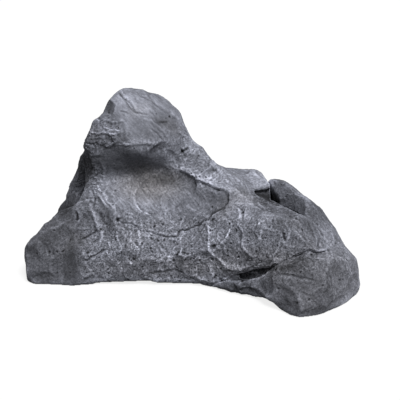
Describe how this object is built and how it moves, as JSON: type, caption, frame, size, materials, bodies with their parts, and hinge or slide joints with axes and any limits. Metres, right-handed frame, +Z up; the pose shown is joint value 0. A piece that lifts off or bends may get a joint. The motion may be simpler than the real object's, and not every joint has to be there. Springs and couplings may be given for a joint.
{
  "type": "resin cave ornament",
  "caption": "Hollow artificial rock for a tank or pond, with an overhanging peak, a scooped shelf, an undercut lip and an open underside that fish can shelter in.",
  "frame": {"origin": "centre of the bounding box on the resting plane", "axes": "+X along the length towards the boulder end, +Y to the back where the cave mouth is, +Z up"},
  "size_m": [0.2956, 0.17, 0.165],
  "materials": {
    "rock_resin": "matt charcoal cast resin, dry-brushed pale grey on the high edges, with a faint brown wash in the scooped shelf",
    "rock_resin_dark": "matt dark charcoal cast resin, lightly dry-brushed",
    "rock_resin_smooth": "matt dark grey cast resin, smoother and less dry-brushed",
    "seam_filler": "matt painted epoxy filler, smoothed flush"
  },
  "bodies": {
    "root": {"front_shell": "rock_resin", "rear_shell": "rock_resin_dark", "left_end_shell": "rock_resin_smooth", "right_slab_shell": "rock_resin", "right_boulder_shell": "rock_resin", "left_seam_filler": "seam_filler", "rear_seam_filler": "seam_filler", "right_seam_filler": "seam_filler"}
  },
  "joints": []
}
